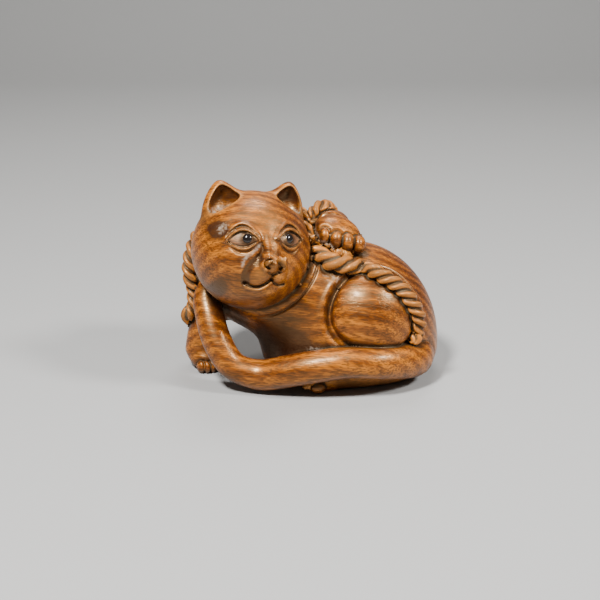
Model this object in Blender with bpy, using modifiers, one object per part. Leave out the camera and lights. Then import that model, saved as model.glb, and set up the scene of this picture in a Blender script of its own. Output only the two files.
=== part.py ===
"""Netsuke: a reclining cat, bound with a twisted rope and carved from one block of wood, with two inlaid eyes.

Metres, +Z up. The origin is on the surface that the netsuke rests on, below the middle of the figure.
The front of the figure, which the face looks out of, is towards -Y, and the rump is towards +X.
"""

import math

import bmesh
import bpy
import numpy as np
from mathutils import Matrix, Vector

# Driving sizes
length = 0.044  # rope on the left to the rump on the right
rope_diameter = 0.0027
rope_pitch = 0.0054  # one full turn of a strand
rope_strands = 3
rope_swell = 0.3  # how much thicker the rope is beside the raised paw
rope_swell_length = 0.007
rope_slack = 0.6  # how much longer its pitch is there
ear_wall = 0.0008
eye_diameter = 0.0016
eye_depth = 0.0016  # how deep an inlaid eye is let into the head
eye_dome = 0.0004  # height of the eye's domed face
eye_proud = 0.0002  # how far the dome stands out of the eyeball
eye_clearance = 0.0001  # gap between an inlaid eye and its socket
foot_level = 0.0002  # how much the underside is rubbed flat
blocking_step = 0.0006  # voxel of the roughed-out figure
carving_step = 0.00032  # voxel of the carved figure
cat_triangles = 9300

# The figure's pose and carving are laid out in 44ths of its length
part = length / 44.0

# The middle of the outline, in 44ths, which the origin goes below
middle = (0.24, -0.08)

# The way the face looks: turned from the front towards the rump, and raised
face_yaw = math.radians(17.5)
face_raise = math.radians(20.0)


def at(x, y, z):
    """A place in the figure, from its 44ths."""
    return np.array((x, y, z)) * part


def smooth_line(points, values, count):
    """Points and values along a smooth curve through the ones given."""
    rows = np.column_stack([np.array(points, float), np.array(values, float)])
    rows = np.vstack([2 * rows[0] - rows[1], rows, 2 * rows[-1] - rows[-2]])
    spans = len(points) - 1
    made = []
    for step in range(count + 1):
        place = min(step / count * spans, spans - 1e-9)
        i = int(place)
        t = place - i
        a, b, c, d = rows[i : i + 4]
        made.append(
            0.5 * (2 * b + (c - a) * t + (2 * a - 5 * b + 4 * c - d) * t**2 + (3 * b - a - 3 * c + d) * t**3)
        )
    made = np.array(made)
    return made[:, :3], made[:, 3]


def turned(yaw=0.0, pitch=0.0, roll=0.0):
    """A turn about Z, then X, then Y, in degrees, as the axes of a form."""
    turn = (
        Matrix.Rotation(math.radians(yaw), 3, "Z")
        @ Matrix.Rotation(math.radians(pitch), 3, "X")
        @ Matrix.Rotation(math.radians(roll), 3, "Y")
    )
    return np.array(turn)


def nearest_on_line(points, line):
    """For each point: the nearest segment of a line, the share along it, and the distance."""
    best = np.full(len(points), 1e9)
    which = np.zeros(len(points), int)
    share = np.zeros(len(points))
    for i, (a, b) in enumerate(zip(line[:-1], line[1:])):
        along = np.clip((points - a) @ (b - a) / ((b - a) @ (b - a)), 0.0, 1.0)
        gap = np.linalg.norm(points - a - along[:, None] * (b - a), axis=1)
        nearer = gap < best
        best[nearer] = gap[nearer]
        which[nearer] = i
        share[nearer] = along[nearer]
    return which, share, best


class Blob:
    """An ellipsoid of flesh, which may narrow sideways towards its top."""

    def __init__(self, centre, radii, axes=None, blend=1.0, crease=0.0, narrowing=0.0):
        self.centre = at(*centre)
        self.radii = np.array(radii, float) * part
        self.axes = np.eye(3) if axes is None else axes
        self.blend = blend * part
        self.crease = crease * part
        self.narrowing = narrowing
        self.low = self.centre - 1.3 * self.radii.max()
        self.high = self.centre + 1.3 * self.radii.max()

    def distance(self, points):
        local = (points - self.centre) @ self.axes
        if self.narrowing:
            local[:, 0] /= 1.0 - self.narrowing * np.clip(local[:, 2] / self.radii[2], -1.0, 1.0)
        near = np.linalg.norm(local / self.radii, axis=1)
        slope = np.linalg.norm(local / self.radii**2, axis=1)
        return near * (near - 1.0) / np.maximum(slope, 1e-9)

    def add_to(self, mesh):
        place = Matrix(self.axes.tolist()).to_4x4()
        place.translation = Vector(self.centre)
        grown = Matrix.Diagonal(Vector((*self.radii, 1.0)))
        bmesh.ops.create_icosphere(mesh, subdivisions=3, radius=1.0, matrix=place @ grown)


class Limb:
    """A tapering tube of flesh along a smooth path."""

    def __init__(self, path, radii, blend=1.0, crease=0.0, steps=28):
        route = [at(*point) for point in path]
        self.points, self.radii = smooth_line(route, np.array(radii, float) * part, steps)
        self.blend = blend * part
        self.crease = crease * part
        self.low = self.points.min(axis=0) - self.radii.max()
        self.high = self.points.max(axis=0) + self.radii.max()

    def distance(self, points):
        which, share, gap = nearest_on_line(points, self.points)
        return gap - self.radii[which] - share * (self.radii[which + 1] - self.radii[which])

    def add_to(self, mesh):
        for point, radius in zip(self.points, self.radii):
            bmesh.ops.create_icosphere(mesh, subdivisions=2, radius=radius, matrix=Matrix.Translation(point))


class Rope:
    """A rope of twisted strands along a smooth path, its ends tapering."""

    def __init__(self, points, tapers=(0.0, 0.0), swell_at=None):
        steps = 14 * (len(points) - 1)
        self.points, _ = smooth_line(points, np.zeros(len(points)), steps)
        self.blend = 0.12 * part
        self.crease = 0.25 * part
        self.radius = rope_diameter / 2
        self.strand_circle = self.radius / (1 + 2 / math.sqrt(3)) * 2 / math.sqrt(3)
        self.strand_radius = 1.15 * (self.radius - self.strand_circle)
        spans = np.diff(self.points, axis=0)
        run = np.linalg.norm(spans, axis=1)
        self.travel = np.concatenate([[0.0], np.cumsum(run)])
        total = self.travel[-1]
        self.size = np.ones(len(self.points))
        pitch = np.full(len(self.points), rope_pitch)
        if tapers[0]:
            self.size *= np.clip(self.travel / (tapers[0] * part), 0.0, 1.0) ** 0.5
        if tapers[1]:
            self.size *= np.clip((total - self.travel) / (tapers[1] * part), 0.0, 1.0) ** 0.5
        if swell_at is not None:
            nearest = np.argmin(np.linalg.norm(self.points - swell_at, axis=1))
            run_on = (self.travel - self.travel[nearest]) / rope_swell_length
            self.size *= 1.0 + rope_swell * np.exp(-(run_on**2))
            pitch *= 1.0 + rope_slack * np.exp(-(run_on**2))
        self.turns = np.concatenate([[0.0], np.cumsum(run / pitch[1:])])
        heading = spans / run[:, None]
        side = np.cross(heading[0], (0.0, 0.0, 1.0))
        sides = []
        for ahead in heading:
            side = side - (side @ ahead) * ahead
            side = side / np.linalg.norm(side)
            sides.append(side)
        self.heading = heading
        self.sides = np.array(sides)
        self.low = self.points.min(axis=0) - self.size.max() * self.radius
        self.high = self.points.max(axis=0) + self.size.max() * self.radius

    def distance(self, points):
        which, share, gap = nearest_on_line(points, self.points)
        ahead = self.heading[which]
        side = self.sides[which]
        other = np.cross(ahead, side)
        start = self.points[which]
        offset = points - start - share[:, None] * (self.points[which + 1] - start)
        angle = np.arctan2((offset * other).sum(1), (offset * side).sum(1))
        turns = self.turns[which] + share * (self.turns[which + 1] - self.turns[which])
        size = self.size[which] + share * (self.size[which + 1] - self.size[which])
        turn = 2 * math.pi / rope_strands
        swing = (angle + 2 * math.pi * turns + turn / 2) % turn - turn / 2
        out = self.strand_circle * size
        from_strand = np.sqrt(gap**2 + out**2 - 2 * gap * out * np.cos(swing))
        lean = math.cos(math.atan2(2 * math.pi * self.strand_circle, rope_pitch))
        return np.where(gap < 2.5 * self.radius, (from_strand - self.strand_radius * size) * lean, gap - self.radius)

    def add_to(self, mesh):
        for point, size in zip(self.points, self.size):
            radius = max(self.radius * size, 0.2 * self.radius)
            bmesh.ops.create_icosphere(mesh, subdivisions=1, radius=radius, matrix=Matrix.Translation(point))


def soft_min(a, b, blend):
    near = np.maximum(blend - np.abs(a - b), 0.0) / blend
    return np.minimum(a, b) - near**2 * blend / 4.0


def soft_max(a, b, blend):
    return -soft_min(-a, -b, blend)


def join_form(made, form, points):
    """Adds a form to the distances, with a cut along its outline where the carver outlined it."""
    reach = form.blend + 1.5 * part
    inside = np.all((points > form.low - reach) & (points < form.high + reach), axis=1)
    if not inside.any():
        return
    other = form.distance(points[inside])
    before = made[inside]
    after = soft_min(before, other, form.blend)
    if form.crease:
        after += form.crease * np.exp(-(((before - other) / (0.35 * part)) ** 2))
    made[inside] = after


# The trunk, from rump to neck
trunk = [
    Blob((7.0, 1.5, 5.3), (15.2, 12.3, 17.4)),
    Blob((-3.8, 0.5, 15.6), (11.5, 9.0, 8.8), blend=4.0),
    Blob((-10.5, 3.0, 18.0), (9.4, 7.0, 8.4), blend=4.0),
]
underside_round = 4.5 * part

# What lies on the trunk: thighs, feet, forelegs and tail
limbs = [
    Blob((9.6, -5.1, 11.7), (8.4, 6.5, 8.3), blend=0.6, crease=0.7),
    Blob((9.2, 7.9, 10.6), (8.4, 6.2, 8.6), blend=0.8, crease=0.5),
    Limb([(12, -4.5, 2.6), (7, -7, 2.3), (2.2, -8.3, 1.7)], (2.6, 2.2, 1.9), blend=0.8),
    Limb([(14, 9.5, 2.8), (9, 12, 2.4), (3.5, 12.6, 1.9)], (2.6, 2.2, 1.9), blend=0.8, crease=0.3),
    Limb(
        [(-12, 2.5, 14), (-16.3, 2.2, 10.5), (-18.1, 1.9, 6.8), (-18.7, 1.8, 3.6)],
        (4.2, 2.9, 2.5, 2.5),
        blend=1.2,
    ),
    Blob((-17.8, 0.9, 2.0), (2.3, 2.6, 2.0), turned(yaw=25), blend=1.0),
    Limb(
        [(-5, 6.5, 15.5), (0.5, 11.0, 13.8), (4.2, 10.8, 18.6), (4.7, 7.0, 23.7), (3.4, 3.2, 25.1)],
        (5.4, 4.2, 3.2, 2.6, 2.7),
        blend=1.2,
        crease=0.3,
    ),
    Blob((4.9, -0.2, 24.8), (4.2, 3.5, 2.6), turned(pitch=22, roll=26), blend=0.8, crease=0.2),
    Limb(
        [
            (16.0, 1.5, 5.4), (17.6, -5.0, 4.7), (12.5, -10.4, 5.9), (6.7, -11.8, 6.4), (1.0, -11.7, 5.6),
            (-3.1, -10.8, 4.5), (-7.4, -9.6, 3.3), (-10.9, -9.2, 3.9), (-13.2, -8.6, 5.3), (-15.2, -7.3, 8.6),
            (-16.4, -5.3, 12.1), (-16.9, -3.2, 14.8), (-15.0, -1.0, 18.0),
        ],
        (4.2, 3.4, 2.8, 2.6, 2.7, 2.7, 2.6, 2.4, 2.4, 2.45, 2.4, 2.2, 2.0),
        blend=1.0,
        crease=0.35,
        steps=60,
    ),
]  # fmt: skip


def row_of_toes(first, last, radii, axes, count=4):
    """Toes side by side, from the first place to the last, the middle ones ahead."""
    made = []
    for i in range(count):
        share = i / (count - 1)
        centre = [a + (b - a) * share for a, b in zip(first, last)]
        centre[1] -= 0.5 * math.sin(math.pi * share)
        made.append(Blob(centre, radii, axes, blend=0.35, crease=0.25))
    return made


toes = (
    row_of_toes((2.75, -2.4, 25.2), (8.3, -2.4, 23.6), (1.2, 1.6, 1.6), turned(pitch=30))
    + row_of_toes((-18.3, -1.2, 1.4), (-15.8, -0.1, 1.3), (0.85, 1.3, 1.2), turned(yaw=25, pitch=15))
    + row_of_toes((1.6, -10.2, 1.3), (0.4, -7.0, 1.3), (1.3, 0.85, 1.1), turned(yaw=10))
    + row_of_toes((2.4, 14.0, 1.3), (1.6, 11.0, 1.3), (1.3, 0.85, 1.1), turned(yaw=-10))
)

# The head
head_centre = at(-9.45, -5.0, 23.5)
head_radius = 9.75 * part
level_forward = np.array((0.0, -math.cos(face_raise), math.sin(face_raise)))
level_right = np.array((1.0, 0.0, 0.0))
face_forward = math.sin(face_yaw) * level_right + math.cos(face_yaw) * level_forward
face_right = math.cos(face_yaw) * level_right - math.sin(face_yaw) * level_forward
face_up = np.array((0.0, math.sin(face_raise), math.cos(face_raise)))
head_axes = np.column_stack([face_right, face_forward, face_up])

# The face, in 44ths to the right of its middle and above it
pupils = {"left": (-3.05, 1.45), "right": (3.75, 1.5)}
lids = {
    "left": {"middle": (-3.75, 1.15), "half": 2.35, "above": 1.6, "below": 1.2},
    "right": {"middle": (4.1, 1.5), "half": 2.3, "above": 1.35, "below": 1.55},
}
cheek_groove = [(-1.3, -1.4), (-2.95, -3.5), (-3.1, -4.9), (-2.97, -5.45)]
mouth_left = [(-2.97, -5.45), (-2.07, -5.97), (-0.79, -6.07), (0.31, -5.53), (1.04, -4.92)]
mouth_right = [(1.04, -4.92), (1.6, -5.45), (2.5, -5.8), (3.42, -5.63)]
lip_cleft = [(1.2, -4.1), (1.04, -4.92)]
nostrils = [(0.2, -2.2), (2.3, -2.3)]

# The ears, by the head's own directions: right, forward and up
ears = {
    "left": {"centre": (-5.1, 1.4, 7.9), "radii": (3.3, 1.9, 3.35), "lean": -12.0},
    "right": {"centre": (5.5, 1.4, 8.1), "radii": (2.9, 1.9, 3.2), "lean": 14.0},
}
ear_narrowing = 0.42


def on_head(right, forward, up):
    """A place by the head's own directions, as 44ths in the figure."""
    return head_centre / part + head_axes @ np.array((right, forward, up))


def swelling(u, v, centre, size, height):
    return height * np.exp(-(((u - centre[0]) / size[0]) ** 2) - ((v - centre[1]) / size[1]) ** 2)


def line_gap(u, v, points):
    """Distance in the plane of the face from a bent line."""
    gap = np.full(len(u), 1e9)
    for (ax, ay), (bx, by) in zip(points[:-1], points[1:]):
        dx, dy = bx - ax, by - ay
        along = np.clip(((u - ax) * dx + (v - ay) * dy) / (dx * dx + dy * dy), 0.0, 1.0)
        np.minimum(gap, np.hypot(u - ax - along * dx, v - ay - along * dy), out=gap)
    return gap


def stroke(u, v, points, width, height):
    """A line raised from the face, or cut into it, with a rounded section."""
    return height * np.exp(-((line_gap(u, v, points) / width) ** 2))


def lid_line(lid, rise, count=8):
    """An eyelid's edge, as an arc from one corner of the eye to the other."""
    middle_u, middle_v = lid["middle"]
    shares = [i / count for i in range(count + 1)]
    return [(middle_u + lid["half"] * (2 * s - 1), middle_v + rise * math.sin(math.pi * s)) for s in shares]


def face_relief(points):
    """How far the carved face stands out of the ball of the head, by place."""
    u, forward, v = ((points - head_centre) @ head_axes / part).T
    relief = np.zeros(len(points))
    bridge = 1.0 / (1.0 + np.exp((np.abs(u - 0.95) - 1.2) / 0.28))
    bridge *= 1.0 / (1.0 + np.exp((v - 2.2) / 0.8)) / (1.0 + np.exp((-3.2 - v) / 0.3))
    relief += bridge * (0.55 - 0.08 * v)
    relief += swelling(u, v, (-0.7, -4.1), (1.6, 1.5), 0.55)
    relief += swelling(u, v, (2.5, -4.7), (1.5, 1.1), 0.5)
    relief += swelling(u, v, (0.6, -7.3), (2.4, 1.1), 0.45)
    pad_half = 1.8 - 0.45 * np.clip(-2.4 - v, 0.0, 2.0)
    pad = np.maximum(np.abs(u - 1.2) / pad_half, np.abs(v + 2.75) / 1.4)
    relief += 0.6 / (1.0 + np.exp((pad - 1.0) / 0.14))
    for name, lid in lids.items():
        relief -= swelling(u, v, lid["middle"], (2.5, 1.7), 0.55)
        relief += swelling(u, v, pupils[name], (1.7, 1.3), 0.75)
        relief += stroke(u, v, lid_line(lid, lid["above"]), 0.4, 0.45)
        relief += stroke(u, v, lid_line(lid, -lid["below"]), 0.36, 0.35)
    for nostril in nostrils:
        relief -= swelling(u, v, nostril, (0.42, 0.42), 0.6)
    relief -= stroke(u, v, mouth_left, 0.36, 0.6) + stroke(u, v, mouth_right, 0.36, 0.5)
    relief -= stroke(u, v, lip_cleft, 0.3, 0.35) + stroke(u, v, cheek_groove, 0.5, 0.4)
    return relief * part * np.clip((forward - 3.0) / 3.0, 0.0, 1.0)


def ear_forms(ear):
    """The ear's outer form, and the hollow that is cut in its front."""
    axes = head_axes @ np.array(Matrix.Rotation(math.radians(ear["lean"]), 3, "Y"))
    wall = ear_wall / part
    across, through, tall = ear["radii"]
    shell = Blob(on_head(*ear["centre"]), ear["radii"], axes, blend=1.8, narrowing=ear_narrowing)
    ahead = on_head(*ear["centre"]) + axes @ np.array((0.0, 1.5, -0.15))
    inner = (across - wall, through, tall - wall)
    hollow = Blob(ahead, inner, axes, blend=0.25, narrowing=ear_narrowing)
    return shell, hollow


def flesh_distance(points):
    """Signed distance to the cat without its rope."""
    made = trunk[0].distance(points)
    for form in trunk[1:]:
        join_form(made, form, points)
    made = soft_max(made, -points[:, 2], underside_round)
    for form in limbs + toes:
        join_form(made, form, points)
    reach = 16.0 * part
    near = np.linalg.norm(points - head_centre, axis=1) < reach
    there = points[near]
    head = np.linalg.norm(there - head_centre, axis=1) - head_radius
    forms = [ear_forms(ear) for ear in ears.values()]
    for shell, hollow in forms:
        head = soft_min(head, shell.distance(there), shell.blend)
    head -= face_relief(there)
    for shell, hollow in forms:
        head = soft_max(head, -hollow.distance(there), hollow.blend)
    body = made[near]
    outline = 0.35 * part * np.exp(-(((body - head) / (0.3 * part)) ** 2))
    made[near] = soft_min(body, head, 0.4 * part) + outline
    return made


def slope_of_flesh(points):
    """The direction in which the distance to the flesh grows."""
    slope = np.zeros_like(points)
    for axis in range(3):
        shift = np.zeros(3)
        shift[axis] = 0.2 * part
        slope[:, axis] = flesh_distance(points + shift) - flesh_distance(points - shift)
    return slope / np.maximum(np.linalg.norm(slope, axis=1, keepdims=True), 1e-9)


def wrapped(path, height, reach):
    """A path moved to run at one height over the flesh, where it is near enough to it."""
    points = np.array([at(*point) for point in path])
    for _ in range(6):
        gap = flesh_distance(points)
        move = np.where(np.abs(gap - height) < reach, gap - height, 0.0)
        points -= 0.6 * move[:, None] * slope_of_flesh(points)
    return points


def laid_on(path, height):
    """A path moved straight back from the front, raised as the face is, until it meets the flesh."""
    points = np.array([at(*point) for point in path])
    travel = np.linspace(10.0, -10.0, 401) * part
    for i, point in enumerate(points):
        gaps = flesh_distance(point + travel[:, None] * level_forward)
        points[i] = point + travel[np.argmax(gaps < height)] * level_forward
    return points


def make_ropes():
    """The rope: up the left side, round the neck, under the raised paw and along the back, and over the wrist."""
    up_the_left = [
        (-16.4, 5.6, 5.2), (-17.8, 5.0, 5.8), (-18.8, 3.6, 7.2), (-19.3, 1.8, 9.2), (-19.9, 0.4, 11.6),
        (-20.5, 0.0, 14.2), (-20.4, 0.0, 17.1), (-20.2, 0.5, 19.4), (-20.0, 1.0, 21.8), (-19.0, 2.6, 24.0),
        (-15.5, 6.0, 26.0),
        (-9.0, 8.0, 27.0), (-3.6, 5.4, 27.0),
    ]  # fmt: skip
    beside_the_paw = [(-1.5, 3.4, 27.0), (-0.8, 1.6, 26.1), (-0.3, 0.2, 24.9), (0.1, -1.3, 23.7), (0.9, -2.7, 22.3)]
    over_the_back = [
        (3.8, -4.0, 21.0), (6.4, -4.2, 20.6), (9.0, -4.8, 20.1), (10.9, -5.5, 19.7), (13.0, -6.0, 18.6),
        (15.0, -6.5, 17.3), (16.4, -7.0, 15.7), (17.6, -7.5, 13.8), (18.1, -8.0, 11.9), (17.8, -8.5, 10.1),
        (17.2, -9.0, 8.6),
    ]  # fmt: skip
    over_the_wrist = [
        (-1.4, 2.4, 26.2), (-0.5, 3.2, 27.4), (0.6, 3.8, 28.3), (1.8, 4.5, 28.5), (2.8, 5.7, 27.8), (3.5, 7.3, 26.4),
        (4.3, 9.2, 24.4), (4.9, 11.0, 21.8), (5.0, 11.6, 20.0),
    ]  # fmt: skip
    height = 0.45 * rope_diameter / 2
    reach = 3.0 * part
    bend = np.array([at(*point) for point in beside_the_paw])
    long_run = np.vstack([wrapped(up_the_left, height, reach), bend, laid_on(over_the_back, height)])
    return [
        Rope(long_run, tapers=(1.2, 1.2), swell_at=bend[-1]),
        Rope(wrapped(over_the_wrist, height, reach), tapers=(0.0, 1.2)),
    ]


def figure_distance(points, ropes):
    made = flesh_distance(points)
    for rope in ropes:
        join_form(made, rope, points)
    return made


def fit_to_figure(mesh, ropes, rounds):
    """Moves every vertex of a skin onto the figure, along the skin's own normals."""
    count = len(mesh.vertices)
    for _ in range(rounds):
        flat = np.empty(count * 3, np.float32)
        mesh.vertices.foreach_get("co", flat)
        points = flat.reshape(-1, 3).astype(float)
        mesh.vertices.foreach_get("normal", flat)
        normals = flat.reshape(-1, 3).astype(float)
        move = np.clip(figure_distance(points, ropes), -0.8 * part, 0.8 * part)
        points -= 0.7 * move[:, None] * normals
        mesh.vertices.foreach_set("co", points.astype(np.float32).ravel())
        mesh.update()


def new_object(name, mesh, collection):
    thing = bpy.data.objects.new(name, mesh)
    collection.objects.link(thing)
    return thing


def apply_modifiers(thing):
    """Replaces the object's mesh by what its modifiers make of it."""
    graph = bpy.context.evaluated_depsgraph_get()
    graph.update()
    made = bpy.data.meshes.new_from_object(thing.evaluated_get(graph))
    old = thing.data
    thing.modifiers.clear()
    thing.data = made
    bpy.data.meshes.remove(old)


def put_skin(thing, step):
    """One skin of even faces over all the forms of an object."""
    modifier = thing.modifiers.new("skin", "REMESH")
    modifier.mode = "VOXEL"
    modifier.voxel_size = step
    apply_modifiers(thing)


def cut_away(thing, cutter):
    modifier = thing.modifiers.new("cut", "BOOLEAN")
    modifier.operation = "DIFFERENCE"
    modifier.solver = "EXACT"
    modifier.object = cutter
    apply_modifiers(thing)


def carve_cat(collection, ropes):
    """The cat with its rope: forms, a skin over them, and the skin fitted to the blended figure."""
    shapes = bmesh.new()
    for form in trunk + limbs + toes + ropes:
        form.add_to(shapes)
    bmesh.ops.create_icosphere(shapes, subdivisions=4, radius=head_radius, matrix=Matrix.Translation(head_centre))
    for ear in ears.values():
        ear_forms(ear)[0].add_to(shapes)
    mesh = bpy.data.meshes.new("cat_with_rope")
    shapes.to_mesh(mesh)
    shapes.free()
    cat = new_object("cat_with_rope", mesh, collection)
    for step, rounds in ((blocking_step, 5), (carving_step, 4), (carving_step, 3)):
        put_skin(cat, step)
        fit_to_figure(cat.data, ropes, rounds)
    return cat


def thin_out(thing, triangles):
    """Leaves the faces where the form needs them."""
    split = thing.modifiers.new("triangles", "TRIANGULATE")
    split.quad_method = "BEAUTY"
    apply_modifiers(thing)
    modifier = thing.modifiers.new("thin", "DECIMATE")
    modifier.ratio = triangles / len(thing.data.polygons)
    apply_modifiers(thing)


def turned_peg(name, collection, radius, depth, dome, steps):
    """A round peg with a domed face, pointing along +Z, its rim at the origin."""
    rings = 4
    profile = [(0.0, -depth), (radius, -depth), (radius, 0.0)]
    for i in range(1, rings):
        angle = math.pi / 2 * i / rings
        profile.append((radius * math.cos(angle), dome * math.sin(angle)))
    profile.append((0.0, dome))
    mesh = bpy.data.meshes.new(name)
    mesh.from_pydata([(x, 0.0, z) for x, z in profile], [(i, i + 1) for i in range(len(profile) - 1)], [])
    peg = new_object(name, mesh, collection)
    screw = peg.modifiers.new("turn", "SCREW")
    screw.steps = steps
    screw.render_steps = steps
    screw.use_merge_vertices = True
    screw.merge_threshold = 0.00001
    screw.use_normal_calculate = True
    apply_modifiers(peg)
    shape = bmesh.new()
    shape.from_mesh(peg.data)
    bmesh.ops.remove_doubles(shape, verts=shape.verts, dist=0.00001)
    bmesh.ops.recalc_face_normals(shape, faces=shape.faces)
    shape.to_mesh(peg.data)
    shape.free()
    return peg


def eye_place(pupil):
    """Where an eye's rim lies on the carved head, and the way it points, as a placing matrix."""
    u, v = pupil
    forward = math.sqrt((head_radius / part) ** 2 - u * u - v * v)
    out = head_axes @ np.array((u, 1.25 * forward, v))
    out /= np.linalg.norm(out)
    start = on_head(u, forward, v) * part
    along = np.linspace(3.0 * part, -3.0 * part, 600)
    gaps = flesh_distance(start + along[:, None] * out)
    surface = along[np.argmax(gaps < 0.0)]
    rim = start + (surface + eye_proud - eye_dome) * out
    place = Vector(out).to_track_quat("Z", "Y").to_matrix().to_4x4()
    place.translation = Vector(rim)
    return place


def plain_material(name, colour, roughness):
    material = bpy.data.materials.new(name)
    material.use_nodes = True
    surface = material.node_tree.nodes["Principled BSDF"]
    surface.inputs["Base Color"].default_value = (*colour, 1.0)
    surface.inputs["Roughness"].default_value = roughness
    return material


def main():
    for thing in list(bpy.data.objects):
        bpy.data.objects.remove(thing)
    pieces = bpy.data.collections.new("netsuke")
    tools = bpy.data.collections.new("cutters")
    for group in (pieces, tools):
        bpy.context.scene.collection.children.link(group)

    cat = carve_cat(pieces, make_ropes())
    thin_out(cat, cat_triangles)

    block = bmesh.new()
    span = 3 * length
    bmesh.ops.create_cube(block, size=span, matrix=Matrix.Translation((0.0, 0.0, foot_level - span / 2)))
    mesh = bpy.data.meshes.new("resting_level")
    block.to_mesh(mesh)
    block.free()
    ground = new_object("resting_level", mesh, tools)
    cut_away(cat, ground)

    cutters = [ground]
    eyes = []
    for name, pupil in pupils.items():
        place = eye_place(pupil)
        gap = eye_clearance
        socket = turned_peg(f"{name}_socket", tools, eye_diameter / 2 + gap, eye_depth + gap, 4 * eye_dome, 24)
        socket.data.transform(place)
        cut_away(cat, socket)
        cutters.append(socket)
        eye = turned_peg(f"{name}_eye", pieces, eye_diameter / 2, eye_depth, eye_dome, 24)
        eye.data.transform(place)
        eyes.append(eye)

    to_origin = Matrix.Translation((-middle[0] * part, -middle[1] * part, -foot_level))
    for thing in [cat] + eyes + cutters:
        thing.data.transform(to_origin)
        for face in thing.data.polygons:
            face.use_smooth = True
    for cutter in cutters:
        cutter.hide_render = True
        cutter.display_type = "WIRE"
    cat.data.materials.append(plain_material("stained_boxwood", (0.33, 0.13, 0.04), 0.4))
    for eye in eyes:
        eye.data.materials.append(plain_material("black_horn", (0.012, 0.01, 0.009), 0.15))


main()
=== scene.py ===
import math
import time

import bmesh
import bpy
import numpy as np
from mathutils import Matrix, Vector


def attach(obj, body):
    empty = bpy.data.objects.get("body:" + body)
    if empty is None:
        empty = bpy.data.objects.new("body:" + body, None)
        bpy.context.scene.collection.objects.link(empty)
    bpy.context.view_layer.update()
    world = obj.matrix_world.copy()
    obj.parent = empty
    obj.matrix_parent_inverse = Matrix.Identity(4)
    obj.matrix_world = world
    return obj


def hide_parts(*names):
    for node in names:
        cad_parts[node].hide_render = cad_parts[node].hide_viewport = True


started = time.time()
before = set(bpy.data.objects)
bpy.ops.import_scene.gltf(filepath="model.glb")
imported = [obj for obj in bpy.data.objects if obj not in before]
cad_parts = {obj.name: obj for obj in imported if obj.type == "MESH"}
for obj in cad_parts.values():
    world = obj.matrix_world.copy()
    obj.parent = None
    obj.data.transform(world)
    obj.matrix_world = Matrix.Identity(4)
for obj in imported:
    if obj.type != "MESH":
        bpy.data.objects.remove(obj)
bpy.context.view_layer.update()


def say(stage):
    print(f"{time.time() - started:6.1f} s  {stage}", flush=True)


say("frame loaded")

# Everything is laid out in 44ths of the figure's length, as the solids are
length = 0.044
share = length / 44.0
originShift = np.array((-0.24, 0.08, -0.2)) * share
footLevel = 0.2 * share
faceYaw = math.radians(17.5)
faceRaise = math.radians(20.0)

camera = {
    "lens": 85.0,
    "sensor": 36.0,
    "distance": 0.24,
    "lookAt": (-0.00164, 0.0, 0.0128),
    "elevation": 20.0,
}


def makeCamera(settings):
    rise = math.radians(settings["elevation"])
    away = Vector((0.0, -math.cos(rise), math.sin(rise)))
    data = bpy.data.cameras.new("photoView")
    data.lens = settings["lens"]
    data.sensor_width = settings["sensor"]
    data.clip_start = 0.001
    data.clip_end = 10.0
    holder = bpy.data.objects.new("photoView", data)
    holder.location = Vector(settings["lookAt"]) + settings["distance"] * away
    holder.rotation_euler = (-away).to_track_quat("-Z", "Y").to_euler()
    bpy.context.scene.collection.objects.link(holder)
    bpy.context.scene.camera = holder
    return holder


makeCamera(camera)


def at(x, y, z):
    return np.array((x, y, z)) * share


# A smooth run through the given points, with a value such as a radius carried along
def smoothLine(points, values, count):
    rows = np.column_stack([np.array(points, float), np.array(values, float)])
    rows = np.vstack([2 * rows[0] - rows[1], rows, 2 * rows[-1] - rows[-2]])
    spans = len(points) - 1
    made = []
    for step in range(count + 1):
        place = min(step / count * spans, spans - 1e-9)
        i = int(place)
        t = place - i
        a, b, c, d = rows[i : i + 4]
        made.append(
            0.5 * (2 * b + (c - a) * t + (2 * a - 5 * b + 4 * c - d) * t**2 + (3 * b - a - 3 * c + d) * t**3)
        )
    made = np.array(made)
    return made[:, :3], made[:, 3]


def turned(yaw=0.0, pitch=0.0, roll=0.0):
    turn = (
        Matrix.Rotation(math.radians(yaw), 3, "Z")
        @ Matrix.Rotation(math.radians(pitch), 3, "X")
        @ Matrix.Rotation(math.radians(roll), 3, "Y")
    )
    return np.array(turn)


def nearestOnLine(points, line):
    best = np.full(len(points), 1e9)
    which = np.zeros(len(points), int)
    along = np.zeros(len(points))
    for i, (a, b) in enumerate(zip(line[:-1], line[1:])):
        here = np.clip((points - a) @ (b - a) / ((b - a) @ (b - a)), 0.0, 1.0)
        off = points - a - here[:, None] * (b - a)
        gap = np.einsum("ij,ij->i", off, off)
        nearer = gap < best
        best[nearer] = gap[nearer]
        which[nearer] = i
        along[nearer] = here[nearer]
    return which, along, np.sqrt(best)


def softMin(a, b, blend):
    near = np.maximum(blend - np.abs(a - b), 0.0) / blend
    return np.minimum(a, b) - near**2 * blend / 4.0


def softMax(a, b, blend):
    return -softMin(-a, -b, blend)


def step01(value, low, high):
    t = np.clip((value - low) / (high - low), 0.0, 1.0)
    return t * t * (3.0 - 2.0 * t)


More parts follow.
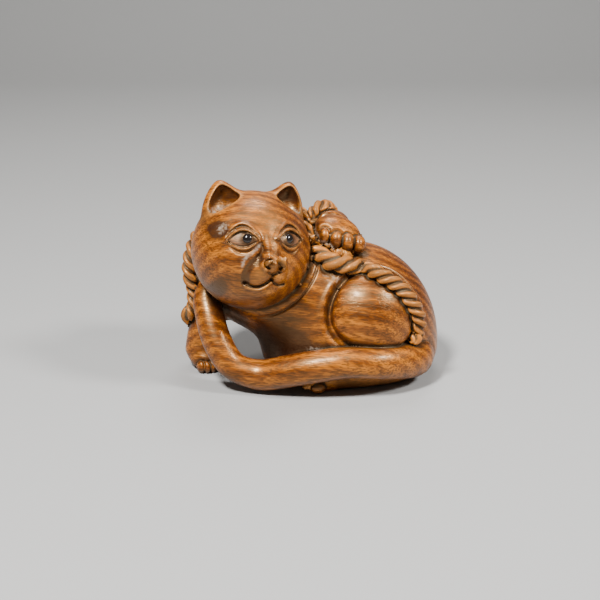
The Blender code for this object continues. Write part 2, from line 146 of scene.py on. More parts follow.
class Blob:
    def __init__(
        self, centre, radii, axes=None, blend=1.0, crease=0.0, creaseWidth=0.35, rim=0.0, narrowing=0.0
    ):
        self.narrowing = narrowing
        self.centre = at(*centre)
        self.radii = np.array(radii, float) * share
        self.axes = np.eye(3) if axes is None else axes
        self.blend = blend * share
        self.crease = crease * share
        self.creaseWidth = creaseWidth * share
        self.rim = rim * share
        self.low = self.centre - 1.3 * self.radii.max()
        self.high = self.centre + 1.3 * self.radii.max()

    def distance(self, points):
        local = (points - self.centre) @ self.axes
        if self.narrowing:
            local[:, 0] /= 1.0 - self.narrowing * np.clip(local[:, 2] / self.radii[2], -1.0, 1.0)
        near = np.linalg.norm(local / self.radii, axis=1)
        slope = np.linalg.norm(local / self.radii**2, axis=1)
        return near * (near - 1.0) / np.maximum(slope, 1e-9)

    def addTo(self, mesh):
        place = Matrix(self.axes.tolist()).to_4x4()
        place.translation = Vector(self.centre)
        grown = Matrix.Diagonal(Vector((*self.radii, 1.0)))
        bmesh.ops.create_icosphere(mesh, subdivisions=3, radius=1.0, matrix=place @ grown)


class Limb:
    def __init__(self, path, radii, blend=1.0, crease=0.0, creaseWidth=0.35, rim=0.0, steps=28):
        route = [at(*point) for point in path]
        self.points, self.radii = smoothLine(route, np.array(radii, float) * share, steps)
        self.blend = blend * share
        self.crease = crease * share
        self.creaseWidth = creaseWidth * share
        self.rim = rim * share
        self.low = self.points.min(axis=0) - self.radii.max()
        self.high = self.points.max(axis=0) + self.radii.max()

    def distance(self, points):
        which, along, gap = nearestOnLine(points, self.points)
        return gap - self.radii[which] - along * (self.radii[which + 1] - self.radii[which])

    def addTo(self, mesh):
        for point, radius in zip(self.points, self.radii):
            bmesh.ops.create_icosphere(mesh, subdivisions=2, radius=radius, matrix=Matrix.Translation(point))


class Rope:
    def __init__(self, points, settings, tapers=(0.0, 0.0), swellAt=None):
        steps = 16 * (len(points) - 1)
        self.points, _ = smoothLine(points, np.zeros(len(points)), steps)
        self.blend = 0.1 * share
        self.crease = 0.3 * share
        self.creaseWidth = 0.25 * share
        self.rim = 0.0
        self.pitch = settings["pitch"]
        self.strands = settings["strands"]
        self.radius = settings["diameter"] / 2
        self.strandCircle = self.radius / (1 + 2 / math.sqrt(3)) * 2 / math.sqrt(3)
        self.strandRadius = settings["fullness"] * (self.radius - self.strandCircle)
        spans = np.diff(self.points, axis=0)
        run = np.linalg.norm(spans, axis=1)
        self.travel = np.concatenate([[0.0], np.cumsum(run)])
        total = self.travel[-1]
        self.size = np.ones(len(self.points))
        pitch = np.full(len(self.points), settings["pitch"])
        if tapers[0]:
            self.size *= np.clip(self.travel / (tapers[0] * share), 0.0, 1.0) ** 0.5
        if tapers[1]:
            self.size *= np.clip((total - self.travel) / (tapers[1] * share), 0.0, 1.0) ** 0.5
        if swellAt is not None:
            nearest = np.argmin(np.linalg.norm(self.points - swellAt, axis=1))
            runOn = (self.travel - self.travel[nearest]) / settings["swellLength"]
            self.size *= 1.0 + settings["swell"] * np.exp(-(runOn**2))
            pitch *= 1.0 + settings["slack"] * np.exp(-(runOn**2))
        self.turns = np.concatenate([[0.0], np.cumsum(run / pitch[1:])])
        self.heading = spans / run[:, None]
        side = np.cross(self.heading[0], (0.0, 0.0, 1.0))
        sides = []
        for ahead in self.heading:
            side = side - (side @ ahead) * ahead
            side = side / np.linalg.norm(side)
            sides.append(side)
        self.sides = np.array(sides)
        self.low = self.points.min(axis=0) - self.size.max() * self.radius
        self.high = self.points.max(axis=0) + self.size.max() * self.radius

    def distance(self, points):
        which, along, gap = nearestOnLine(points, self.points)
        ahead = self.heading[which]
        side = self.sides[which]
        other = np.cross(ahead, side)
        start = self.points[which]
        offset = points - start - along[:, None] * (self.points[which + 1] - start)
        angle = np.arctan2((offset * other).sum(1), (offset * side).sum(1))
        turns = self.turns[which] + along * (self.turns[which + 1] - self.turns[which])
        size = self.size[which] + along * (self.size[which + 1] - self.size[which])
        turn = 2 * math.pi / self.strands
        swing = (angle + 2 * math.pi * turns + turn / 2) % turn - turn / 2
        out = self.strandCircle * size
        fromStrand = np.sqrt(gap**2 + out**2 - 2 * gap * out * np.cos(swing))
        lean = math.cos(math.atan2(2 * math.pi * self.strandCircle, self.pitch))
        made = (fromStrand - self.strandRadius * size) * lean
        return np.where(gap < 2.5 * self.radius, made, gap - self.radius)

    def addTo(self, mesh):
        for point, size in zip(self.points, self.size):
            radius = max(self.radius * size, 0.2 * self.radius)
            bmesh.ops.create_icosphere(mesh, subdivisions=1, radius=radius, matrix=Matrix.Translation(point))


# Joins one form to the rest with a soft blend, a carved line round it and a raised rim
def joinForm(made, form, points):
    reach = form.blend + 1.5 * share
    inside = np.all((points > form.low - reach) & (points < form.high + reach), axis=1)
    if not inside.any():
        return
    other = form.distance(points[inside])
    before = made[inside]
    after = softMin(before, other, form.blend)
    if form.crease:
        across = (before - other) / form.creaseWidth
        after += form.crease * np.exp(-(across**2))
        if form.rim:
            after -= form.rim * np.exp(-((across + 1.9) ** 2))
    made[inside] = after


body = {
    "trunk": [
        Blob((7.0, 1.5, 5.3), (15.2, 12.3, 17.4)),
        Blob((-3.8, 0.5, 15.6), (11.5, 9.0, 8.8), blend=4.0),
        Blob((-10.5, 3.0, 18.0), (9.4, 7.0, 8.4), blend=4.0),
    ],
    "undersideRound": 4.5 * share,
    "thighs": [
        Blob((9.6, -5.1, 11.7), (8.4, 6.5, 8.3), blend=0.45, crease=0.75, creaseWidth=0.4, rim=0.2),
        Blob((9.2, 7.9, 10.6), (8.4, 6.2, 8.6), blend=0.6, crease=0.55, rim=0.12),
    ],
    "hindFeet": [
        Limb([(12, -4.5, 2.6), (7, -7, 2.3), (2.2, -8.3, 1.7)], (2.6, 2.2, 1.9), blend=0.8),
        Limb([(14, 9.5, 2.8), (9, 12, 2.4), (3.5, 12.6, 1.9)], (2.6, 2.2, 1.9), blend=0.8, crease=0.3),
    ],
    "leftForeleg": [
        Limb(
            [(-12, 2.5, 14), (-16.3, 2.2, 10.5), (-18.1, 1.9, 6.8), (-18.7, 1.8, 3.6)],
            (4.2, 2.9, 2.5, 2.5),
            blend=1.2,
        ),
        Blob((-17.8, 0.9, 2.0), (2.3, 2.6, 2.0), turned(yaw=25), blend=1.0),
    ],
    "raisedForeleg": [
        Limb(
            [(-5, 6.5, 15.5), (0.5, 11.0, 13.8), (4.2, 10.8, 18.6), (4.7, 7.0, 23.7), (3.4, 3.2, 25.1)],
            (5.4, 4.2, 3.2, 2.6, 2.7),
            blend=1.2,
            crease=0.3,
        ),
        Blob((4.9, -0.2, 24.8), (4.2, 3.5, 2.6), turned(pitch=22, roll=26), blend=0.7, crease=0.35, rim=0.15),
    ],
    "tail": [
        Limb(
            [
                (16.0, 1.5, 5.4), (17.6, -5.0, 4.7), (12.5, -10.4, 5.9), (6.7, -11.8, 6.4), (1.0, -11.7, 5.6),
                (-3.1, -10.8, 4.5), (-7.4, -9.6, 3.3), (-10.9, -9.2, 3.9), (-13.2, -8.6, 5.3),
                (-15.2, -7.3, 8.6), (-16.4, -5.3, 12.1), (-16.9, -3.2, 14.8), (-15.0, -1.0, 18.0),
            ],
            (4.2, 3.4, 2.8, 2.6, 2.7, 2.7, 2.6, 2.4, 2.4, 2.45, 2.4, 2.2, 2.0),
            blend=0.8,
            crease=0.4,
            creaseWidth=0.3,
            steps=72,
        )
    ],
}  # fmt: skip


def rowOfToes(first, last, radii, axes, count=4, blend=0.3, crease=0.3):
    made = []
    for i in range(count):
        place = i / (count - 1)
        centre = [a + (b - a) * place for a, b in zip(first, last)]
        centre[1] -= 0.5 * math.sin(math.pi * place)
        made.append(Blob(centre, radii, axes, blend=blend, crease=crease, creaseWidth=0.22))
    return made


toes = (
    rowOfToes((2.75, -2.4, 25.2), (8.3, -2.4, 23.6), (1.2, 1.6, 1.6), turned(pitch=30), crease=0.4)
    + rowOfToes((-18.3, -1.2, 1.4), (-15.8, -0.1, 1.3), (0.85, 1.3, 1.2), turned(yaw=25, pitch=15))
    + rowOfToes((1.6, -10.2, 1.3), (0.4, -7.0, 1.3), (1.3, 0.85, 1.1), turned(yaw=10))
    + rowOfToes((2.4, 14.0, 1.3), (1.6, 11.0, 1.3), (1.3, 0.85, 1.1), turned(yaw=-10))
)

head = {
    "centre": at(-9.45, -5.0, 23.5),
    "radius": 9.75 * share,
    "pupils": {"left": (-3.05, 1.45), "right": (3.75, 1.5)},
    "lids": {
        "left": {"middle": (-3.75, 1.15), "half": 2.35, "above": 1.5, "below": 1.15},
        "right": {"middle": (4.1, 1.5), "half": 2.3, "above": 1.3, "below": 1.5},
    },
    # Lines on the face: places across and up from the middle of the head, in 44ths
    "besideTheNose": [(-0.8, 0.8), (-0.75, -0.4), (-1.2, -1.4)],
    "cheekGroove": [(-1.3, -1.4), (-2.95, -3.5), (-3.1, -4.9), (-2.97, -5.45)],
    "mouthLeft": [(-2.97, -5.45), (-2.07, -5.97), (-0.79, -6.07), (0.31, -5.53), (1.04, -4.92)],
    "mouthRight": [(1.04, -4.92), (1.6, -5.45), (2.5, -5.8), (3.42, -5.63)],
    "lipCleft": [(1.2, -4.1), (1.04, -4.92)],
    "nostrils": {
        "left": [(0.35, -2.1), (0.0, -2.3), (-0.15, -2.8), (0.2, -3.2)],
        "right": [(2.15, -2.1), (2.45, -2.3), (2.6, -2.8), (2.3, -3.2)],
    },
    "wings": {
        "left": [(0.1, -1.6), (-0.6, -2.0), (-0.75, -2.9), (-0.2, -3.6)],
        "right": [(2.3, -1.6), (2.95, -2.0), (3.1, -2.9), (2.65, -3.5)],
    },
    "underTheNose": [(0.3, -3.9), (1.2, -4.15), (2.2, -3.8)],
    # Painted shade line under the nose
    "underTheNoseShadeLine": [(0.2, -3.85), (1.2, -4.2), (2.3, -3.8)],
    "rightCheek": [(3.5, -2.2), (3.95, -3.3), (3.7, -4.6)],
    # Rounded forms on the face: place, size and height
    "forms": [
        ((-0.7, -4.2), (1.5, 1.4), 0.6),
        ((2.5, -4.75), (1.3, 1.0), 0.5),
        ((0.6, -7.3), (2.3, 1.0), 0.45),
        ((1.25, -3.0), (0.95, 0.95), 0.55),
    ],
    "bridge": {"middle": 0.95, "half": 1.15, "top": 2.4, "bottom": -3.0},
    "jawFold": {"rise": 0.28, "off": 1.5, "width": 0.22},
    "rim": {"rise": 0.35, "width": 0.3, "blend": 0.4},
}
ears = {
    "left": {"centre": (-5.1, 1.4, 7.9), "radii": (3.3, 1.9, 3.35), "lean": -12.0},
    "right": {"centre": (5.5, 1.4, 8.1), "radii": (2.9, 1.9, 3.2), "lean": 14.0},
}
earMaking = {"wall": 0.7, "narrowing": 0.42, "blend": 1.8}

levelForward = np.array((0.0, -math.cos(faceRaise), math.sin(faceRaise)))
levelRight = np.array((1.0, 0.0, 0.0))
faceForward = math.sin(faceYaw) * levelRight + math.cos(faceYaw) * levelForward
faceRight = math.cos(faceYaw) * levelRight - math.sin(faceYaw) * levelForward
faceUp = np.array((0.0, math.sin(faceRaise), math.cos(faceRaise)))
headAxes = np.column_stack([faceRight, faceForward, faceUp])


def onHead(right, forward, up):
    return head["centre"] / share + headAxes @ np.array((right, forward, up))


def swelling(u, v, centre, size, height):
    return height * np.exp(-(((u - centre[0]) / size[0]) ** 2) - ((v - centre[1]) / size[1]) ** 2)


def lineGap(u, v, points):
    gap = np.full(len(u), 1e9)
    for (ax, ay), (bx, by) in zip(points[:-1], points[1:]):
        dx, dy = bx - ax, by - ay
        along = np.clip(((u - ax) * dx + (v - ay) * dy) / (dx * dx + dy * dy), 0.0, 1.0)
        np.minimum(gap, np.hypot(u - ax - along * dx, v - ay - along * dy), out=gap)
    return gap


def stroke(u, v, points, width, height):
    return height * np.exp(-((lineGap(u, v, points) / width) ** 2))


def lidLine(lid, rise, reach=1.0, count=14):
    places = [i / count for i in range(count + 1)]
    middleU, middleV = lid["middle"]
    half = lid["half"] * reach
    return [(middleU + half * (2 * s - 1), middleV + rise * math.sin(math.pi * s) ** 0.85) for s in places]


def insideLids(u, v, lid):
    across = np.clip((u - lid["middle"][0]) / lid["half"], -1.0, 1.0)
    arch = np.cos(across * math.pi / 2) ** 0.85
    height = v - lid["middle"][1]
    gap = np.minimum(lid["above"] * arch - height, height + lid["below"] * arch)
    return np.where(np.abs(u - lid["middle"][0]) < lid["half"], gap, -1.0)


# Painted shade along the carved lines of the lids, nostrils, nose wings and mouth
def paintedGrooveShade(u, v):
    shadeLinesAndIris = np.zeros(len(u))
    for lid in head["lids"].values():
        gap = insideLids(u, v, lid)
        shadeLinesAndIris += 0.9 * np.exp(-(((gap - 0.14) / 0.12) ** 2))
        shadeLinesAndIris += 0.7 * stroke(u, v, lidLine(lid, lid["above"] + 0.8, 1.08), 0.16, 1.0)
        shadeLinesAndIris += 0.35 * stroke(u, v, lidLine(lid, -lid["below"] - 0.65, 1.0), 0.16, 1.0)
    for line in head["nostrils"].values():
        shadeLinesAndIris += stroke(u, v, curve(line), 0.2, 0.8) + swelling(u, v, line[0], (0.36, 0.3), 1.0)
    for line in head["wings"].values():
        outward = 0.45 if line[0][0] > head["bridge"]["middle"] else -0.45
        around = [(a + outward, b) for a, b in line]
        shadeLinesAndIris += stroke(u, v, curve(around), 0.2, 0.55)
    shadeLinesAndIris += stroke(u, v, curve(head["underTheNoseShadeLine"]), 0.22, 0.9)
    for name in ("mouthLeft", "mouthRight"):
        shadeLinesAndIris += stroke(u, v, curve(head[name]), 0.14, 0.7)
    shadeLinesAndIris += stroke(u, v, head["lipCleft"], 0.15, 0.5)
    shadeLinesAndIris += stroke(u, v, curve(head["besideTheNose"]), 0.28, 0.5)
    return np.clip(shadeLinesAndIris, 0.0, 1.0)


def curve(points, count=20):
    made, _ = smoothLine([(a, b, 0.0) for a, b in points], np.zeros(len(points)), count)
    return [(a, b) for a, b, _ in made]


def faceRelief(points):
    u, forward, v = ((points - head["centre"]) @ headAxes / share).T
    relief = np.zeros(len(points))
    front = (forward > 2.0) & (np.abs(u) < 9.0) & (np.abs(v) < 9.5)
    if not front.any():
        return relief
    relief[front] = faceLines(u[front], v[front]) * np.clip((forward[front] - 2.5) / 3.0, 0.0, 1.0)
    return relief * share


def faceLines(u, v):
    relief = np.zeros(len(u))
    nose = head["bridge"]
    bridge = 1.0 / (1.0 + np.exp((np.abs(u - nose["middle"]) - nose["half"]) / 0.22))
    bridge *= 1.0 / (1.0 + np.exp((v - nose["top"]) / 0.8)) / (1.0 + np.exp((nose["bottom"] - v) / 0.25))
    relief += bridge * (0.6 - 0.09 * v)
    for place, size, height in head["forms"]:
        relief += swelling(u, v, place, size, height)
    for line in head["wings"].values():
        relief += stroke(u, v, curve(line), 0.33, 0.55)
    for line in head["nostrils"].values():
        relief -= stroke(u, v, curve(line), 0.24, 0.55)
        relief -= swelling(u, v, line[0], (0.3, 0.3), 0.4)
    relief -= stroke(u, v, curve(head["underTheNose"]), 0.22, 0.35)
    for name, lid in head["lids"].items():
        gap = insideLids(u, v, lid)
        middle = lid["middle"]
        relief -= swelling(u, v, (middle[0], middle[1] + 0.1), (2.6, 1.8), 0.5)
        relief += swelling(u, v, head["pupils"][name], (1.75, 1.4), 0.8)
        relief -= 0.4 * np.exp(-(((gap - 0.18) / 0.17) ** 2))
        relief += stroke(u, v, lidLine(lid, lid["above"] + 0.25), 0.27, 0.62)
        relief += stroke(u, v, lidLine(lid, -lid["below"] - 0.2), 0.27, 0.5)
        relief -= stroke(u, v, lidLine(lid, lid["above"] + 0.8, 1.08), 0.2, 0.35)
        relief += stroke(u, v, lidLine(lid, lid["above"] + 1.3, 1.12), 0.4, 0.3)
        relief -= stroke(u, v, lidLine(lid, -lid["below"] - 0.8, 0.95), 0.25, 0.25)
    mouth = curve(head["mouthLeft"]), curve(head["mouthRight"])
    relief -= stroke(u, v, mouth[0], 0.22, 0.55) + stroke(u, v, mouth[1], 0.22, 0.45)
    relief += stroke(u, v, [(a, b - 0.55) for a, b in mouth[0]], 0.3, 0.25)
    relief -= stroke(u, v, head["lipCleft"], 0.22, 0.35)
    relief -= stroke(u, v, curve(head["cheekGroove"]), 0.5, 0.3)
    relief -= stroke(u, v, curve(head["besideTheNose"]), 0.28, 0.35)
    relief -= stroke(u, v, curve(head["rightCheek"]), 0.3, 0.15)
    return relief


def earForms(ear, settings):
    axes = headAxes @ np.array(Matrix.Rotation(math.radians(ear["lean"]), 3, "Y"))
    across, through, tall = ear["radii"]
    narrowing = settings["narrowing"]
    shell = Blob(onHead(*ear["centre"]), ear["radii"], axes, blend=settings["blend"], narrowing=narrowing)
    ahead = onHead(*ear["centre"]) + axes @ np.array((0.0, 1.5, -0.15))
    inner = (across - settings["wall"], through, tall - settings["wall"])
    return shell, Blob(ahead, inner, axes, blend=0.2, narrowing=narrowing)


earShapes = {side: earForms(ear, earMaking) for side, ear in ears.items()}


def fleshDistance(points):
    made = body["trunk"][0].distance(points)
    for form in body["trunk"][1:]:
        joinForm(made, form, points)
    made = softMax(made, -points[:, 2], body["undersideRound"])
    for group in ("thighs", "hindFeet", "leftForeleg", "raisedForeleg", "tail"):
        for form in body[group]:
            joinForm(made, form, points)
    for form in toes:
        joinForm(made, form, points)
    near = np.linalg.norm(points - head["centre"], axis=1) < 16.0 * share
    there = points[near]
    skull = np.linalg.norm(there - head["centre"], axis=1) - head["radius"]
    for shell, hollow in earShapes.values():
        skull = softMin(skull, shell.distance(there), shell.blend)
    skull -= faceRelief(there)
    for shell, hollow in earShapes.values():
        skull = softMax(skull, -hollow.distance(there), hollow.blend)
    rest = made[near]
    jaw = step01(there[:, 0] / share, -9.0, -5.0) * step01(-there[:, 1] / share, -1.0, 3.0)
    fold = head["jawFold"]
    off = (skull / share - fold["off"]) / fold["width"]
    rest = rest + fold["rise"] * share * jaw * np.exp(-(off**2))
    rim = head["rim"]
    outline = rim["rise"] * share * np.exp(-(((rest - skull) / (rim["width"] * share)) ** 2))
    made[near] = softMin(rest, skull, rim["blend"] * share) + outline
    return made


def slopeOfFlesh(points):
    slope = np.zeros_like(points)
    for axis in range(3):
        shift = np.zeros(3)
        shift[axis] = 0.2 * share
        slope[:, axis] = fleshDistance(points + shift) - fleshDistance(points - shift)
    return slope / np.maximum(np.linalg.norm(slope, axis=1, keepdims=True), 1e-9)


# A rope's path pulled onto the flesh, as deep as its seat
def wrapped(path, height, reach):
    points = np.array([at(*point) for point in path])
    for _ in range(6):
        gap = fleshDistance(points)
        move = np.where(np.abs(gap - height) < reach, gap - height, 0.0)
        points -= 0.6 * move[:, None] * slopeOfFlesh(points)
    return points


# A rope's path moved along the line of sight until it lies on the flesh
def laidOn(path, height):
    points = np.array([at(*point) for point in path])
    travel = np.linspace(10.0, -10.0, 401) * share
    for i, point in enumerate(points):
        gaps = fleshDistance(point + travel[:, None] * levelForward)
        points[i] = point + travel[np.argmax(gaps < height)] * levelForward
    return points


rope = {
    "diameter": 0.0027,
    "pitch": 0.0054,
    "strands": 3,
    "fullness": 1.12,
    "seat": 0.45,
    "swell": 0.3,
    "swellLength": 0.007,
    "slack": 0.6,
    "upTheLeft": [
        (-16.4, 5.6, 5.2), (-17.8, 5.0, 5.8), (-18.8, 3.6, 7.2), (-19.3, 1.8, 9.2), (-19.9, 0.4, 11.6),
        (-20.5, 0.0, 14.2), (-20.4, 0.0, 17.1), (-20.2, 0.5, 19.4), (-20.0, 1.0, 21.8), (-19.0, 2.6, 24.0),
        (-15.5, 6.0, 26.0), (-9.0, 8.0, 27.0), (-3.6, 5.4, 27.0),
    ],
    "besideThePaw": [
        (-1.5, 3.4, 27.0), (-0.8, 1.6, 26.1), (-0.3, 0.2, 24.9), (0.1, -1.3, 23.7), (0.9, -2.7, 22.3),
    ],
    "overTheBack": [
        (3.8, -4.0, 21.0), (6.4, -4.2, 20.6), (9.0, -4.8, 20.1), (10.9, -5.5, 19.7), (13.0, -6.0, 18.6),
        (15.0, -6.5, 17.3), (16.4, -7.0, 15.7), (17.6, -7.5, 13.8), (18.1, -8.0, 11.9), (17.8, -8.5, 10.1),
        (17.2, -9.0, 8.6),
    ],
    "overTheWrist": [
        (-1.4, 2.4, 26.2), (-0.5, 3.2, 27.4), (0.6, 3.8, 28.3), (1.8, 4.5, 28.5), (2.8, 5.7, 27.8),
        (3.5, 7.3, 26.4), (4.3, 9.2, 24.4), (4.9, 11.0, 21.8), (5.0, 11.6, 20.0),
    ],
}  # fmt: skip


def makeRopes(settings):
    height = settings["seat"] * settings["diameter"] / 2
    reach = 3.0 * share
    bend = np.array([at(*point) for point in settings["besideThePaw"]])
    rising = wrapped(settings["upTheLeft"], height, reach)
    longRun = np.vstack([rising, bend, laidOn(settings["overTheBack"], height)])
    return [
        Rope(longRun, settings, tapers=(1.2, 1.2), swellAt=bend[-1]),
        Rope(wrapped(settings["overTheWrist"], height, reach), settings, tapers=(0.0, 1.2)),
    ]


ropes = makeRopes(rope)
say("rope laid")


def figureDistance(points):
    made = fleshDistance(points)
    for run in ropes:
        joinForm(made, run, points)
    return made


def readPoints(mesh, field="co"):
    flat = np.empty(len(mesh.vertices) * 3, np.float32)
    mesh.vertices.foreach_get(field, flat)
    return flat.reshape(-1, 3).astype(float)


# Moves the skin along its own normals onto the carved surface
def fitToFigure(mesh, rounds):
    for _ in range(rounds):
        points = readPoints(mesh)
        normals = readPoints(mesh, "normal")
        move = np.clip(figureDistance(points), -0.8 * share, 0.8 * share)
        points -= 0.7 * move[:, None] * normals
        mesh.vertices.foreach_set("co", points.astype(np.float32).ravel())
        mesh.update()


def newObject(name, mesh):
    thing = bpy.data.objects.new(name, mesh)
    bpy.context.scene.collection.objects.link(thing)
    return thing


def applyModifiers(thing):
    graph = bpy.context.evaluated_depsgraph_get()
    graph.update()
    made = bpy.data.meshes.new_from_object(thing.evaluated_get(graph))
    old = thing.data
    thing.modifiers.clear()
    thing.data = made
    bpy.data.meshes.remove(old)


def putSkin(thing, voxel):
    modifier = thing.modifiers.new("skin", "REMESH")
    modifier.mode = "VOXEL"
    modifier.voxel_size = voxel
    applyModifiers(thing)


carving = {
    "steps": ((0.0006, 5), (0.00017, 4), (0.00016, 3)),
    "quickSteps": ((0.0006, 5), (0.0003, 4)),
    "triangles": 190000,
}


# The level underside that the figure stands on
def rubFlat(thing):
    shape = bmesh.new()
    shape.from_mesh(thing.data)
    everything = shape.verts[:] + shape.edges[:] + shape.faces[:]
    level = Vector((0.0, 0.0, footLevel))
    bmesh.ops.bisect_plane(shape, geom=everything, plane_co=level, plane_no=(0.0, 0.0, 1.0), clear_inner=True)
    rims = [edge for edge in shape.edges if edge.is_boundary]
    bmesh.ops.contextual_create(shape, geom=rims)
    bmesh.ops.recalc_face_normals(shape, faces=shape.faces)
    shape.to_mesh(thing.data)
    shape.free()


def carveCat(settings):
    shapes = bmesh.new()
    for group in ("trunk", "thighs", "hindFeet", "leftForeleg", "raisedForeleg", "tail"):
        for form in body[group]:
            form.addTo(shapes)
    for form in toes + ropes:
        form.addTo(shapes)
    bmesh.ops.create_icosphere(
        shapes, subdivisions=4, radius=head["radius"], matrix=Matrix.Translation(head["centre"])
    )
    for shell, hollow in earShapes.values():
        shell.addTo(shapes)
    mesh = bpy.data.meshes.new("carvedCat")
    shapes.to_mesh(mesh)
    shapes.free()
    cat = newObject("carvedCat", mesh)
    for voxel, rounds in settings["steps"]:
        putSkin(cat, voxel)
        fitToFigure(cat.data, rounds)
        say(f"skin of {len(cat.data.vertices)} points")
    rubFlat(cat)
    triangles = cat.modifiers.new("triangles", "TRIANGULATE")
    triangles.quad_method = "BEAUTY"
    applyModifiers(cat)
    if len(cat.data.polygons) > settings["triangles"]:
        thin = cat.modifiers.new("thin", "DECIMATE")
        thin.ratio = settings["triangles"] / len(cat.data.polygons)
        applyModifiers(cat)
    say(f"carving of {len(cat.data.polygons)} triangles")
    return cat


cat = carveCat(carving)


# Stains, residue and painted highlights on the face: place, size and strength
marks = {
    "residue": [
        ((-5.9, 3.6), (1.2, 0.8), 0.62),
        ((-6.7, 2.7), (0.8, 1.0), 0.7),
        ((-7.6, -1.2), (0.6, 0.7), 0.6),
    ],
    "residueBand": [(-1.0, 0.6), (-2.1, -0.5), (-3.4, -1.7), (-3.7, -2.8)],
    "stainAndPaintedShade": [((-6.5, -6.4), (1.2, 1.6), 1.0), ((-7.0, 3.0), (1.5, 1.6), 0.9)],
    # Painted highlights on the muzzle, the forehead and the nose
    "paintedHighlights": [
        ((-0.9, -4.1), (1.5, 1.2), 0.55),
        ((2.6, -4.5), (1.2, 0.8), 0.4),
        ((0.4, 4.6), (2.2, 2.6), 0.45),
        ((1.3, -3.0), (0.9, 0.8), 0.4),
    ],
    # On the body: middles, spreads and strength, along x and up the picture
    # The first body patch is residue with a painted highlight on the shoulder; the second is residue at the
    # base
    "bodyResidueAndHighlight": [((4.0, 15.2), (2.6, 1.3), 0.6), ((1.0, 4.2), (2.4, 0.6), 0.8)],
    "ropeResidue": [((3.0, 24.0), (4.5, 4.5), 0.9)],
    # Painted shade under the chest and belly
    "chest": [((-3.0, 7.5), (5.5, 3.8), 1.25)],
    "pictureUp": (0.342, 0.94),
    "iris": (1.05, 1.3),
    "earFloor": (-1.4, 0.6),
}


def patches(u, v, name):
    return sum(swelling(u, v, place, size, strength) for place, size, strength in marks[name])


# How deep in a hollow, how near an edge, and how much painted shade each point gets from nearby forms and
# from facing down
def hollowsEdgesAndPaintedShade(points, normals):
    near, far, wide = 0.25 * share, 0.8 * share, 2.6 * share
    hollowNear = 1.0 - figureDistance(points + near * normals) / near
    hollowFar = 1.0 - figureDistance(points + far * normals) / far
    hollowWide = 1.0 - figureDistance(points + wide * normals) / wide
    # Painted shade: darker in wide hollows between forms and on faces turned down
    underside = step01(-normals[:, 2], -0.1, 0.9)
    paintedShade = step01(hollowWide, 0.1, 0.9) + 0.45 * underside
    inside = 0.35 * share
    edge = 1.0 + figureDistance(points - inside * normals) / inside
    hollow = step01(0.5 * hollowNear + 0.8 * hollowFar, 0.04, 0.5)
    return hollow, step01(edge, 0.04, 0.45), paintedShade


def paintCarving(thing):
    mesh = thing.data
    points = readPoints(mesh)
    hollow, wearAndHighlight, paintedShade = hollowsEdgesAndPaintedShade(points, readPoints(mesh, "normal"))
    ropeMask = step01(fleshDistance(points), 0.15 * share, 0.45 * share)
    ropeNear = np.min([run.distance(points) for run in ropes], axis=0)
    ropeMask *= 1.0 - step01(ropeNear, 0.2 * share, 0.5 * share)
    u, forward, v = ((points - head["centre"]) @ headAxes / share).T
    onFace = (forward > -1.0) & (np.linalg.norm(points - head["centre"], axis=1) < 14.0 * share)
    residue = patches(u, v, "residue") + stroke(u, v, curve(marks["residueBand"]), 0.55, 0.85)
    stainAndPaintedShade = patches(u, v, "stainAndPaintedShade") + stroke(u, v, curve(head["cheekGroove"]), 0.6, 0.95)
    # Painted highlights on the muzzle, the nose and the forehead join the edge wear
    wearAndHighlight = wearAndHighlight + np.where(onFace, patches(u, v, "paintedHighlights"), 0.0)
    eyeball = np.zeros(len(points))
    # Painted shade in the carved lines, then a dark ring round each pupil
    shadeLinesAndIris = paintedGrooveShade(u, v)
    for name, lid in head["lids"].items():
        pupilU, pupilV = head["pupils"][name]
        opened = step01(insideLids(u, v, lid), 0.1, 0.35)
        shadeLinesAndIris += opened * (1.0 - step01(np.hypot(u - pupilU, v - pupilV), *marks["iris"]))
        # Painted highlight up and to the left of each pupil, on the same side in both eyes
        paintedEyeHighlight = swelling(u, v, (pupilU - 1.1, pupilV + 0.35), (0.8, 0.7), 0.75)
        eyeball += opened * (0.2 + paintedEyeHighlight)
    residue, stainAndPaintedShade, eyeball, shadeLinesAndIris = (np.where(onFace, mask, 0.0) for mask in (residue, stainAndPaintedShade, eyeball, shadeLinesAndIris))
    for shell, hollowForm in earShapes.values():
        low = ((points - hollowForm.centre) @ hollowForm.axes)[:, 2] / share
        high = step01(low, *marks["earFloor"])
        inEar = 1.0 - step01(hollowForm.distance(points), 0.0, 0.4 * share)
        # Residue on the floor of each ear; the upper inside of each ear is made darker
        residue += 0.8 * inEar * (1.0 - high)
        stainAndPaintedShade += 0.42 * inEar * high
    x, y, z = points.T / share
    onFront = 1.0 - onFace * step01(forward, 0.0, 2.0)
    # Painted shade under the chest and belly, put in with the stains
    chest = patches(x, z, "chest") * step01(-y, -4.0, 4.0)
    stainAndPaintedShade += chest * step01(y, -11.0, -8.0) * onFront
    besideRope = np.exp(-(((ropeNear / share - 0.6) / 0.45) ** 2)) * (1.0 - ropeMask)
    residue += besideRope * patches(x, z, "ropeResidue")
    height = marks["pictureUp"][1] * z + marks["pictureUp"][0] * y
    # Residue on the front of the body, with a painted highlight on the shoulder
    residue += step01(-y, 0.0, 2.0) * patches(x, height, "bodyResidueAndHighlight")
    masks = {
        "carving": (hollow, wearAndHighlight, residue),
        "marks": (stainAndPaintedShade, eyeball, ropeMask),
        "paintedShade": (paintedShade, shadeLinesAndIris),
    }
    for name, parts in masks.items():
        layer = mesh.attributes.new(name, "FLOAT_COLOR", "POINT")
        colours = np.ones((len(points), 4), np.float32)
        for i, mask in enumerate(parts):
            colours[:, i] = np.clip(mask, 0.0, 1.0)
        layer.data.foreach_set("color", colours.ravel())


paintCarving(cat)
say("hollows, edges and marks found")


